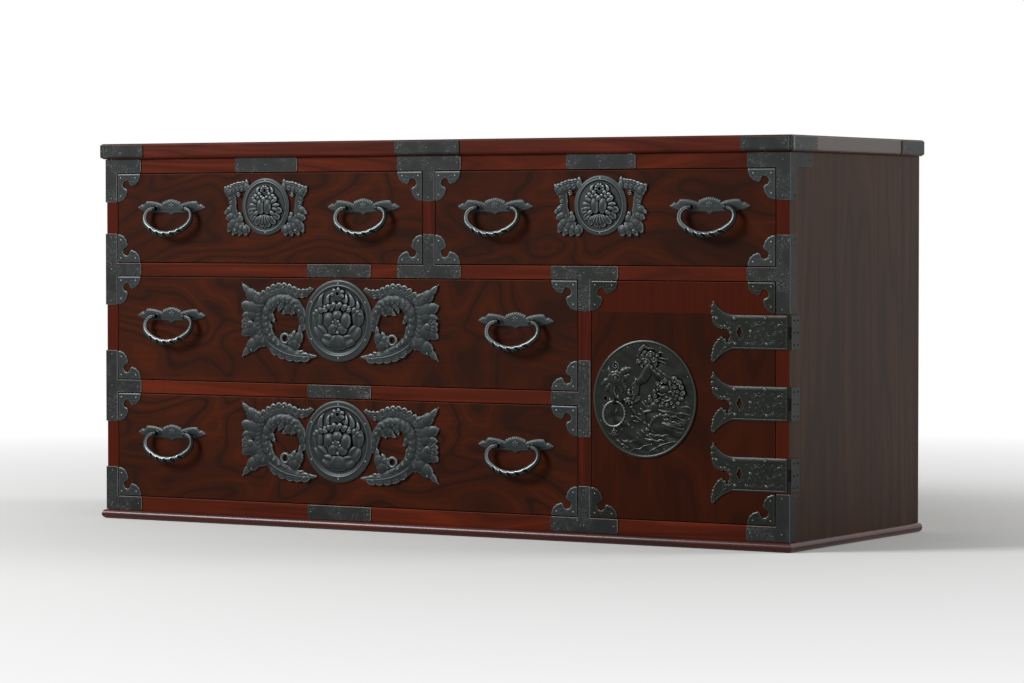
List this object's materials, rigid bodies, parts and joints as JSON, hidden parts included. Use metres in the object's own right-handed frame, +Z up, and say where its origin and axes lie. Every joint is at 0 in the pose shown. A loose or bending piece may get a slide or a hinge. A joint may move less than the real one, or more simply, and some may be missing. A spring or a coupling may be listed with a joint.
{
  "type": "clothing chest",
  "caption": "Low lacquered wooden clothing chest with ironbound drawers, round lock plates and a side cupboard.",
  "frame": {"origin": "middle of the carcass footprint on the flat underside of the base board", "axes": "+Z up, -Y out of the drawer fronts, +X to the right of someone facing the front"},
  "size_m": [1.2184, 0.4455, 0.587],
  "materials": {
    "zelkova_lacquer": "dark reddish-brown lacquer over figured zelkova",
    "zelkova_rail": "red-brown lacquer over straight-grained zelkova",
    "side_lacquer": "brown-grey lacquer with a soft shine",
    "cedar": "bare planed cedar or paulownia",
    "black_iron": "hammered wrought iron with a dark satin coat",
    "steel": "plain filed steel of lock parts and pins"
  },
  "bodies": {
    "carcass": {"side_panel_left": "side_lacquer", "side_panel_right": "side_lacquer", "top_board": "side_lacquer", "bottom_board": "cedar", "base_moulding": "side_lacquer", "back_panel": "cedar", "front_rails": "zelkova_rail", "front_stiles": "zelkova_rail", "dust_boards": "cedar", "partitions": "cedar", "cupboard_shelf": "cedar", "stop_blocks": "cedar", "corner_angle_irons": "black_iron", "tee_irons": "black_iron", "rail_plates": "black_iron", "top_board_bands": "black_iron", "hinge_side_leaves": "black_iron"},
    "door": {"door_panel": "zelkova_lacquer", "door_corner_irons": "black_iron", "door_medallion": "black_iron", "door_strap_hinges": "black_iron", "door_lock_case": "steel"},
    "door_bolt": {"door_lock_bolt": "steel"},
    "door_pull": {"door_ring": "black_iron"},
    "top_left_drawer": {"top_left_drawer_front": "zelkova_lacquer", "top_left_drawer_box": "cedar", "top_left_corner_irons": "black_iron", "top_left_lock_plate": "black_iron", "top_left_handle_plates": "black_iron", "top_left_lock_case": "steel"},
    "top_left_bolt": {"top_left_lock_bolt": "steel"},
    "top_left_left_handle": {"top_left_left_bail": "black_iron"},
    "top_left_right_handle": {"top_left_right_bail": "black_iron"},
    "top_right_drawer": {"top_right_drawer_front": "zelkova_lacquer", "top_right_drawer_box": "cedar", "top_right_corner_irons": "black_iron", "top_right_lock_plate": "black_iron", "top_right_handle_plates": "black_iron", "top_right_lock_case": "steel"},
    "top_right_bolt": {"top_right_lock_bolt": "steel"},
    "top_right_left_handle": {"top_right_left_bail": "black_iron"},
    "top_right_right_handle": {"top_right_right_bail": "black_iron"},
    "middle_drawer": {"middle_drawer_front": "zelkova_lacquer", "middle_drawer_box": "cedar", "middle_corner_irons": "black_iron", "middle_lock_plate": "black_iron", "middle_handle_plates": "black_iron", "middle_lock_case": "steel"},
    "middle_bolt": {"middle_lock_bolt": "steel"},
    "middle_left_handle": {"middle_left_bail": "black_iron"},
    "middle_right_handle": {"middle_right_bail": "black_iron"},
    "lower_drawer": {"lower_drawer_front": "zelkova_lacquer", "lower_drawer_box": "cedar", "lower_corner_irons": "black_iron", "lower_lock_plate": "black_iron", "lower_handle_plates": "black_iron", "lower_lock_case": "steel"},
    "lower_bolt": {"lower_lock_bolt": "steel"},
    "lower_left_handle": {"lower_left_bail": "black_iron"},
    "lower_right_handle": {"lower_right_bail": "black_iron"}
  },
  "joints": [
    {"name": "door_swing", "type": "hinge", "parent": "carcass", "child": "door", "pos_m": [0.60224, -0.21424, 0.2085], "axis": [0, 0, 1], "range_deg": [0, 180]},
    {"name": "door_bolt_slide", "type": "slide", "parent": "door", "child": "door_bolt", "axis": [-1, 0, 0], "range_m": [0, 0.008]},
    {"name": "door_pull_swing", "type": "hinge", "parent": "door", "child": "door_pull", "pos_m": [0.3255, -0.225, 0.207], "axis": [-1, 0, 0], "range_deg": [0, 100]},
    {"name": "top_left_slide", "type": "slide", "parent": "carcass", "child": "top_left_drawer", "axis": [0, -1, 0], "range_m": [0, 0.3]},
    {"name": "top_left_bolt_slide", "type": "slide", "parent": "top_left_drawer", "child": "top_left_bolt", "axis": [0, 0, 1], "range_m": [0, 0.008]},
    {"name": "top_left_left_bail_swing", "type": "hinge", "parent": "top_left_drawer", "child": "top_left_left_handle", "pos_m": [-0.4735, -0.22, 0.486], "axis": [-1, 0, 0], "range_deg": [0, 100]},
    {"name": "top_left_right_bail_swing", "type": "hinge", "parent": "top_left_drawer", "child": "top_left_right_handle", "pos_m": [-0.116, -0.22, 0.486], "axis": [-1, 0, 0], "range_deg": [0, 100]},
    {"name": "top_right_slide", "type": "slide", "parent": "carcass", "child": "top_right_drawer", "axis": [0, -1, 0], "range_m": [0, 0.3]},
    {"name": "top_right_bolt_slide", "type": "slide", "parent": "top_right_drawer", "child": "top_right_bolt", "axis": [0, 0, 1], "range_m": [0, 0.008]},
    {"name": "top_right_left_bail_swing", "type": "hinge", "parent": "top_right_drawer", "child": "top_right_left_handle", "pos_m": [0.116, -0.22, 0.486], "axis": [-1, 0, 0], "range_deg": [0, 100]},
    {"name": "top_right_right_bail_swing", "type": "hinge", "parent": "top_right_drawer", "child": "top_right_right_handle", "pos_m": [0.4735, -0.22, 0.486], "axis": [-1, 0, 0], "range_deg": [0, 100]},
    {"name": "middle_slide", "type": "slide", "parent": "carcass", "child": "middle_drawer", "axis": [0, -1, 0], "range_m": [0, 0.3]},
    {"name": "middle_bolt_slide", "type": "slide", "parent": "middle_drawer", "child": "middle_bolt", "axis": [0, 0, 1], "range_m": [0, 0.008]},
    {"name": "middle_left_bail_swing", "type": "hinge", "parent": "middle_drawer", "child": "middle_left_handle", "pos_m": [-0.4735, -0.22, 0.31875], "axis": [-1, 0, 0], "range_deg": [0, 100]},
    {"name": "middle_right_bail_swing", "type": "hinge", "parent": "middle_drawer", "child": "middle_right_handle", "pos_m": [0.1515, -0.22, 0.31875], "axis": [-1, 0, 0], "range_deg": [0, 100]},
    {"name": "lower_slide", "type": "slide", "parent": "carcass", "child": "lower_drawer", "axis": [0, -1, 0], "range_m": [0, 0.3]},
    {"name": "lower_bolt_slide", "type": "slide", "parent": "lower_drawer", "child": "lower_bolt", "axis": [0, 0, 1], "range_m": [0, 0.008]},
    {"name": "lower_left_bail_swing", "type": "hinge", "parent": "lower_drawer", "child": "lower_left_handle", "pos_m": [-0.4735, -0.22, 0.13625], "axis": [-1, 0, 0], "range_deg": [0, 100]},
    {"name": "lower_right_bail_swing", "type": "hinge", "parent": "lower_drawer", "child": "lower_right_handle", "pos_m": [0.1515, -0.22, 0.13625], "axis": [-1, 0, 0], "range_deg": [0, 100]}
  ]
}
